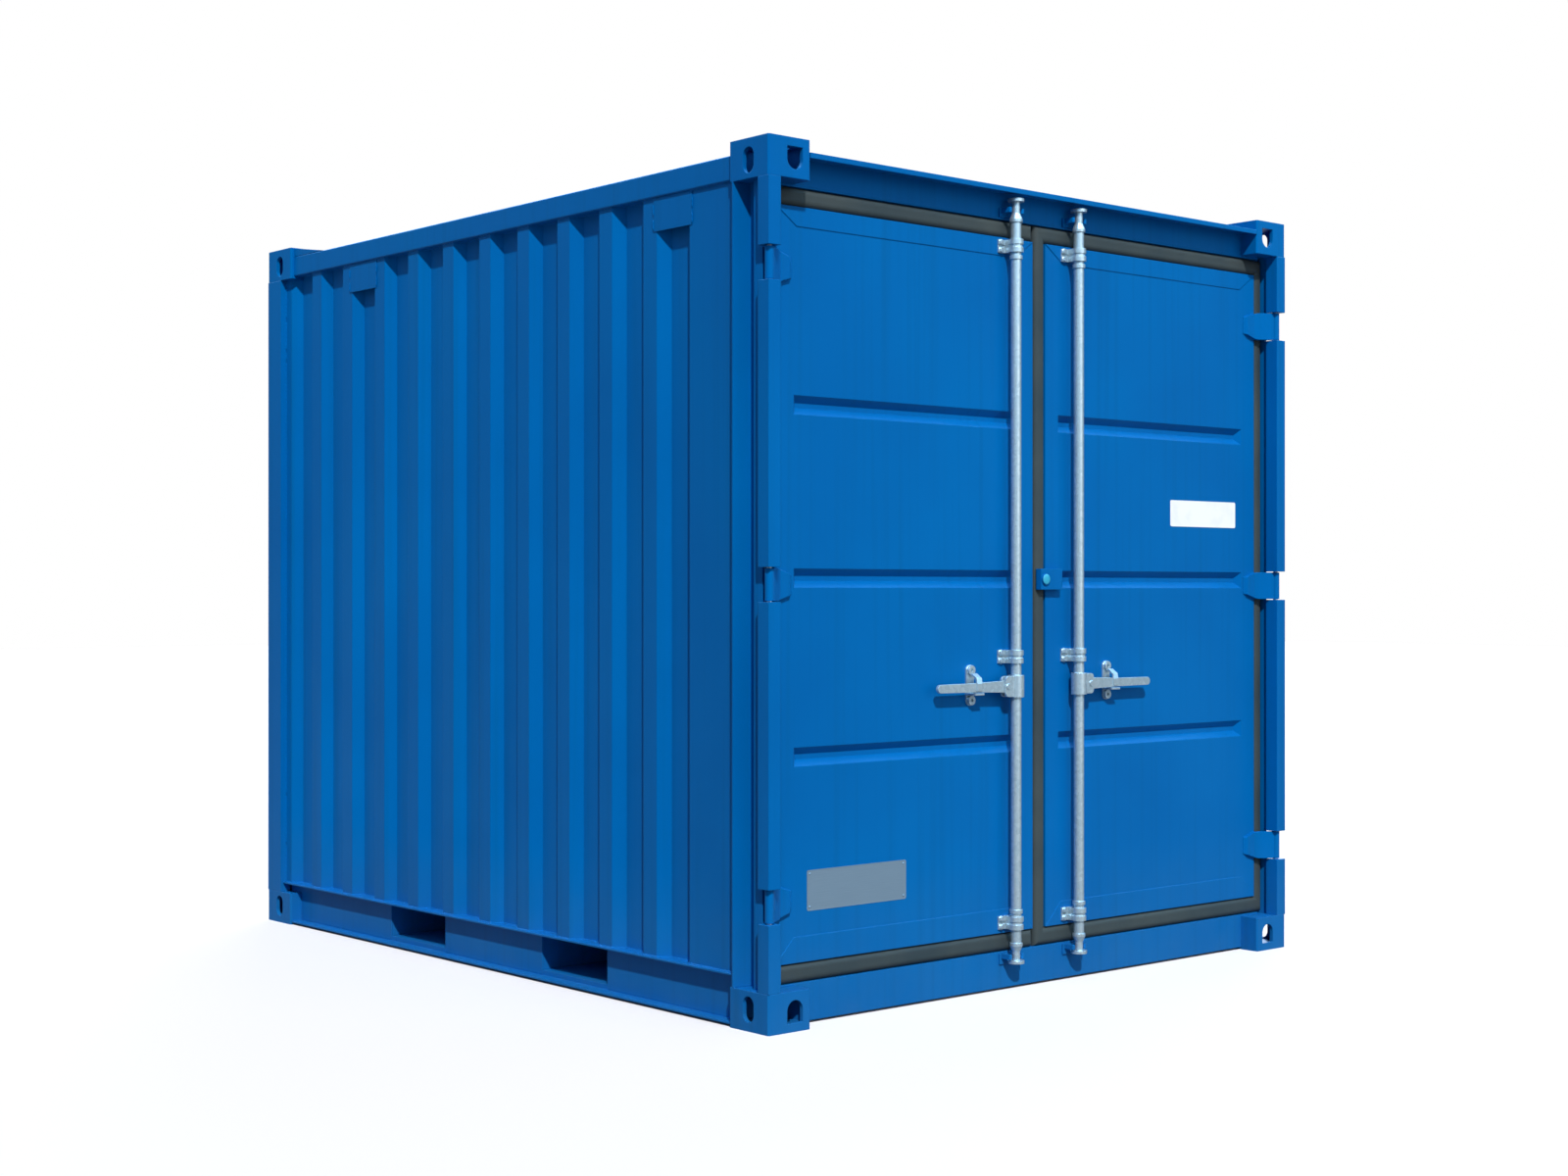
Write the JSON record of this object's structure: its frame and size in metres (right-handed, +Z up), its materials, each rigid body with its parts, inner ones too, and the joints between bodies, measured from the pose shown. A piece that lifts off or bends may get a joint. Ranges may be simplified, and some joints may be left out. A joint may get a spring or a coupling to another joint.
{
  "type": "shipping container",
  "caption": "Steel storage container with corrugated walls, two swing doors with lock rods and handles, fork pockets and corner castings.",
  "frame": {"origin": "centre of the footprint, on the plane that the bottom castings stand on", "axes": "+Z up, -Y towards the door end, +X to the right seen from the doors"},
  "size_m": [2.438, 2.991, 2.591],
  "materials": {
    "blue_paint": "satin",
    "gasket_rubber": "matt",
    "galvanised_steel": "dull galvanised",
    "floor_plywood": "sealed"
  },
  "bodies": {
    "root": {"bottom_rail_webs": "blue_paint", "bottom_side_rail_left": "blue_paint", "bottom_side_rail_right": "blue_paint", "door_header": "blue_paint", "door_sill": "blue_paint", "floor": "floor_plywood", "floor_cross_members": "blue_paint", "fork_pocket_front": "blue_paint", "fork_pocket_rear": "blue_paint", "fork_pocket_webs": "blue_paint", "front_left_bottom_casting": "blue_paint", "front_left_post": "blue_paint", "front_left_top_casting": "blue_paint", "front_right_bottom_casting": "blue_paint", "front_right_post": "blue_paint", "front_right_top_casting": "blue_paint", "hinge_pins": "galvanised_steel", "rear_bottom_rail": "blue_paint", "rear_left_bottom_casting": "blue_paint", "rear_left_post": "blue_paint", "rear_left_top_casting": "blue_paint", "rear_right_bottom_casting": "blue_paint", "rear_right_post": "blue_paint", "rear_right_top_casting": "blue_paint", "rear_top_rail": "blue_paint", "rear_wall": "blue_paint", "rod_keepers": "blue_paint", "roof_end_plates": "blue_paint", "roof_panel": "blue_paint", "side_wall_left": "blue_paint", "side_wall_right": "blue_paint", "top_side_rail_left": "blue_paint", "top_side_rail_right": "blue_paint", "vent_covers": "blue_paint"},
    "left_door": {"left_door_gasket": "gasket_rubber", "left_door_hinges": "blue_paint", "left_door_panel": "blue_paint", "left_handle_catch": "galvanised_steel", "left_rod_brackets": "galvanised_steel"},
    "left_rod": {"left_lock_rod": "galvanised_steel", "left_rod_ends": "galvanised_steel"},
    "left_handle": {"left_lock_handle": "galvanised_steel"},
    "right_door": {"centre_bracket": "blue_paint", "right_door_gasket": "gasket_rubber", "right_door_hinges": "blue_paint", "right_door_panel": "blue_paint", "right_handle_catch": "galvanised_steel", "right_rod_brackets": "galvanised_steel"},
    "right_rod": {"right_lock_rod": "galvanised_steel", "right_rod_ends": "galvanised_steel"},
    "right_handle": {"right_lock_handle": "galvanised_steel"}
  },
  "joints": [
    {"name": "left_door_hinge", "type": "hinge", "parent": "root", "child": "left_door", "pos_m": [-1.195, -1.4715, 1.296], "axis": [0, 0, -1], "range_deg": [0, 265]},
    {"name": "left_rod_turn", "type": "hinge", "parent": "left_door", "child": "left_rod", "pos_m": [-0.15, -1.462, 1.296], "axis": [0, 0, -1], "range_deg": [-110, 0]},
    {"name": "left_handle_lift", "type": "hinge", "parent": "left_rod", "child": "left_handle", "pos_m": [-0.198, -1.462, 0.973], "axis": [0, -1, 0], "range_deg": [-20, 0]},
    {"name": "right_door_hinge", "type": "hinge", "parent": "root", "child": "right_door", "pos_m": [1.195, -1.4715, 1.296], "axis": [0, 0, 1], "range_deg": [0, 265]},
    {"name": "right_rod_turn", "type": "hinge", "parent": "right_door", "child": "right_rod", "pos_m": [0.15, -1.462, 1.296], "axis": [0, 0, 1], "range_deg": [-110, 0]},
    {"name": "right_handle_lift", "type": "hinge", "parent": "right_rod", "child": "right_handle", "pos_m": [0.198, -1.462, 0.973], "axis": [0, 1, 0], "range_deg": [-20, 0]}
  ]
}
